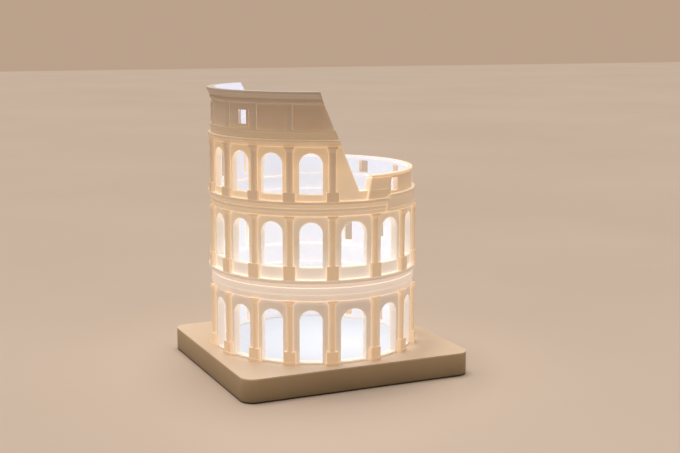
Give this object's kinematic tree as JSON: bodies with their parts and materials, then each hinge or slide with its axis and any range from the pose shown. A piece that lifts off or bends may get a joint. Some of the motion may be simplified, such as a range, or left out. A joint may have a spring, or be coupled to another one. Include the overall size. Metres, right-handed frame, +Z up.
{
  "type": "miniature landmark model",
  "caption": "Lit souvenir of a ruined round amphitheatre: arcaded storeys and a broken attic on a low rectangular base with a lamp inside.",
  "frame": {"origin": "on the table plane, under the middle of the rectangular base", "axes": "+Z up, +X to the right and +Y to the back as seen from the front; the charging socket and the power button are in the back wall (+Y); the tall wall stands on the -X side"},
  "size_m": [0.13, 0.12, 0.154],
  "materials": {
    "ivory_plastic": "matte, slightly translucent",
    "base_plastic": "matte",
    "foot_rubber": "matte",
    "screw_steel": "satin",
    "light_disc": "opal",
    "white_board": "satin",
    "led_chip": "gloss",
    "cell_foil": "satin foil",
    "green_board": "satin",
    "socket_steel": "satin",
    "black_plastic": "satin",
    "ribbon": "satin"
  },
  "bodies": {
    "lamp": {"base_housing": "base_plastic", "bottom_cover": "base_plastic", "rubber_feet": "foot_rubber", "cover_screws": "screw_steel", "light_disc": "light_disc", "led_board": "white_board", "led_chips": "led_chip", "led_board_screws": "screw_steel", "battery_cell": "cell_foil", "charge_board": "green_board", "charge_board_screws": "screw_steel", "charge_socket": "socket_steel", "button_switch": "black_plastic", "power_ribbon": "ribbon", "led_ribbon": "ribbon", "tower_screws": "screw_steel", "lower_arcade": "ivory_plastic", "lower_pedestals": "ivory_plastic", "lower_columns": "ivory_plastic", "lower_capitals": "ivory_plastic", "lower_entablature": "ivory_plastic", "middle_arcade": "ivory_plastic", "middle_pedestals": "ivory_plastic", "middle_columns": "ivory_plastic", "middle_capitals": "ivory_plastic", "middle_entablature": "ivory_plastic", "low_entablature": "ivory_plastic", "upper_arcade": "ivory_plastic", "upper_pedestals": "ivory_plastic", "upper_columns": "ivory_plastic", "upper_capitals": "ivory_plastic", "upper_entablature": "ivory_plastic", "attic_plinth": "ivory_plastic", "attic_wall": "ivory_plastic", "attic_pilasters": "ivory_plastic", "attic_window_frames": "ivory_plastic", "crown_cornice": "ivory_plastic", "low_wall": "ivory_plastic", "low_wall_block": "ivory_plastic", "low_wall_rim": "ivory_plastic"},
    "button": {"power_button": "base_plastic", "switch_plunger": "black_plastic"}
  },
  "joints": [
    {"name": "power_press", "type": "slide", "parent": "lamp", "child": "button", "axis": [0, -1, 0], "range_m": [0, 0.0006], "stiffness_N_per_m": 1500, "springref_m": -0.0003}
  ]
}
